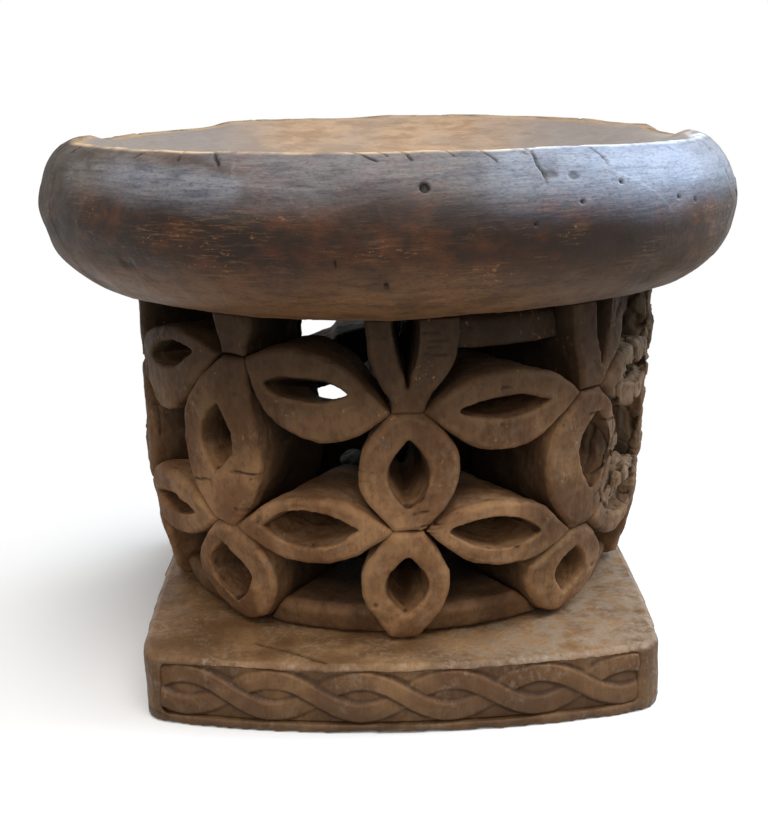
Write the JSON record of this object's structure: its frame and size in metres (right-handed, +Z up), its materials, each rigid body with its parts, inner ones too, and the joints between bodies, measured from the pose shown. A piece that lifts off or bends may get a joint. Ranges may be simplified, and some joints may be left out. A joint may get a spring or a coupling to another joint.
{
  "type": "carved stool",
  "caption": "Round wooden stool with a dished seat on an openwork drum of pierced leaf rings, over a bowed square plinth with a carved braid on each face.",
  "frame": {"origin": "on the floor, under the centre of the round seat", "axes": "+Z up, -Y towards the front of the stool, +X to the viewer's right"},
  "size_m": [0.46, 0.46, 0.345],
  "materials": {
    "seat_wood": "dark hand-polished patina",
    "leaf_wood": "dry carved wood with worn edges",
    "ring_wood": "dark wood in the recesses",
    "plinth_wood": "worn satin wood",
    "braid_wood": "low relief, worn satin wood"
  },
  "bodies": {
    "root": {"seat": "seat_wood", "head_leaf_1": "leaf_wood", "head_leaf_2": "leaf_wood", "head_leaf_3": "leaf_wood", "head_leaf_4": "leaf_wood", "head_leaf_5": "leaf_wood", "head_leaf_6": "leaf_wood", "head_leaf_7": "leaf_wood", "head_leaf_8": "leaf_wood", "head_leaf_9": "leaf_wood", "upper_link_leaf_1": "leaf_wood", "upper_link_leaf_2": "leaf_wood", "upper_link_leaf_3": "leaf_wood", "upper_link_leaf_4": "leaf_wood", "upper_link_leaf_5": "leaf_wood", "upper_link_leaf_6": "leaf_wood", "upper_link_leaf_7": "leaf_wood", "upper_link_leaf_8": "leaf_wood", "upper_link_leaf_9": "leaf_wood", "middle_leaf_1": "leaf_wood", "middle_leaf_2": "leaf_wood", "middle_leaf_3": "leaf_wood", "middle_leaf_4": "leaf_wood", "middle_leaf_5": "leaf_wood", "middle_leaf_6": "leaf_wood", "middle_leaf_7": "leaf_wood", "middle_leaf_8": "leaf_wood", "middle_leaf_9": "leaf_wood", "lower_link_leaf_1": "leaf_wood", "lower_link_leaf_2": "leaf_wood", "lower_link_leaf_3": "leaf_wood", "lower_link_leaf_4": "leaf_wood", "lower_link_leaf_5": "leaf_wood", "lower_link_leaf_6": "leaf_wood", "lower_link_leaf_7": "leaf_wood", "lower_link_leaf_8": "leaf_wood", "lower_link_leaf_9": "leaf_wood", "foot_leaf_1": "leaf_wood", "foot_leaf_2": "leaf_wood", "foot_leaf_3": "leaf_wood", "foot_leaf_4": "leaf_wood", "foot_leaf_5": "leaf_wood", "foot_leaf_6": "leaf_wood", "foot_leaf_7": "leaf_wood", "foot_leaf_8": "leaf_wood", "foot_leaf_9": "leaf_wood", "collar": "ring_wood", "sill": "ring_wood", "plinth": "plinth_wood", "front_braid": "braid_wood", "right_braid": "braid_wood", "back_braid": "braid_wood", "left_braid": "braid_wood"}
  },
  "joints": []
}
